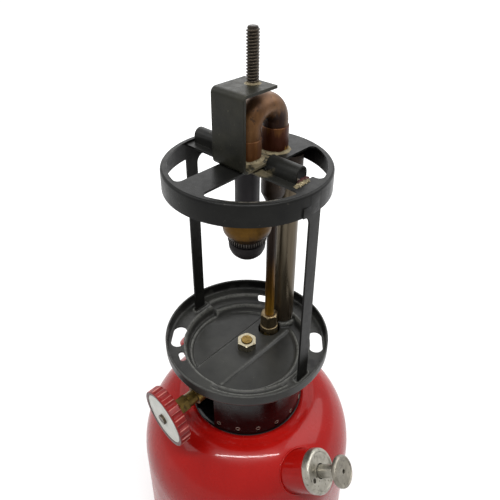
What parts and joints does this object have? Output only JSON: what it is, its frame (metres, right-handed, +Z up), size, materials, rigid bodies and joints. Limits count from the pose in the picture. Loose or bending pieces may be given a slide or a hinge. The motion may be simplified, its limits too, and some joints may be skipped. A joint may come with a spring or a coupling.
{
  "type": "gasoline lantern",
  "caption": "Single-mantle pressure gasoline lantern stripped of globe, mantle, ventilator and bail: red fount with pump and filler, fuel valve wheel, black burner frame and generator.",
  "frame": {"origin": "centre of the fount's flat bottom, where the lantern stands on the table", "axes": "+Z up along the lantern's axis; X through the two frame legs; -Y on the fuel valve's side; +Y towards the generator"},
  "size_m": [0.1514, 0.1344, 0.3327],
  "materials": {
    "red_paint": "gloss enamel, chalky and paler on the shoulder",
    "black_paint": "satin black with soot and worn edges",
    "gloss_black": "gloss black",
    "burnt_black": "heat blackened, matte",
    "brass": "tarnished",
    "pale_brass": "bright, worn",
    "brown_copper": "heat browned copper",
    "bare_steel": "heat stained",
    "zinc": "dull cast zinc",
    "knob_red": "worn, paler on the ridges",
    "dial_white": "bare, no lettering",
    "leather": "oiled",
    "rubber": "dull",
    "graphite": "graphite packing"
  },
  "bodies": {
    "lantern": {"fount_shell": "red_paint", "fount_bottom": "red_paint", "pump_boss": "red_paint", "pump_barrel": "brass", "check_valve": "brass", "check_ball": "bare_steel", "pump_cap": "zinc", "filler_neck": "red_paint", "valve_body": "brass", "pickup_tube": "brass", "packing_ring": "graphite", "packing_nut": "brass", "collar": "gloss_black", "base_plate": "black_paint", "frame_nut": "pale_brass", "generator_tube": "brass", "generator_nut": "brass", "gas_tip": "brass", "air_tube": "bare_steel", "mixing_chamber": "burnt_black", "return_bend": "brown_copper", "front_sleeve": "brown_copper", "back_sleeve": "brown_copper", "burner_tube": "burnt_black", "burner_bowl": "brass", "slotted_ring": "brass", "mantle_collar": "burnt_black", "burner_screen": "bare_steel", "frame_top": "black_paint", "bail_strap": "black_paint", "stud_bracket": "black_paint", "ventilator_stud": "bare_steel"},
    "fuel_valve": {"valve_stem": "brass", "valve_wheel": "knob_red", "valve_dial": "dial_white", "wheel_screw": "brass"},
    "cleaning_rod": {"cleaning_rod": "bare_steel"},
    "air_stem": {"air_stem": "bare_steel"},
    "plunger": {"pump_rod": "zinc", "pump_knob": "zinc", "pump_cup": "leather", "cup_retainer": "zinc"},
    "filler_gasket": {"filler_gasket": "rubber"},
    "filler_cap": {"filler_cap": "red_paint"}
  },
  "joints": [
    {"name": "valve_turn", "type": "hinge", "parent": "lantern", "child": "fuel_valve", "pos_m": [-0.00486, -0.0496, 0.13159], "axis": [-0.0973, -0.992, -0.0802], "range_deg": [0, 450]},
    {"name": "rod_slide", "type": "slide", "parent": "lantern", "child": "cleaning_rod", "axis": [0, 0, -1], "range_m": [0, 0.0025]},
    {"name": "pump_turn", "type": "hinge", "parent": "lantern", "child": "air_stem", "pos_m": [0.05627, -0.01403, 0.09578], "axis": [0.7832, 0.2026, 0.5878], "range_deg": [0, 360]},
    {"name": "pump_stroke", "type": "slide", "parent": "air_stem", "child": "plunger", "axis": [0.7832, 0.2026, 0.5878], "range_m": [0, 0.038]},
    {"name": "cap_lift", "type": "slide", "parent": "lantern", "child": "filler_gasket", "axis": [-0.4988, 0.0349, 0.866], "range_m": [0, 0.03]},
    {"name": "cap_turn", "type": "hinge", "parent": "filler_gasket", "child": "filler_cap", "pos_m": [-0.04888, 0.00342, 0.10395], "axis": [-0.4988, 0.0349, 0.866], "range_deg": [0, 720]}
  ],
  "couplings": [
    {"joint": "rod_slide", "follows": "valve_turn", "m_per_rad": 0.000318}
  ]
}
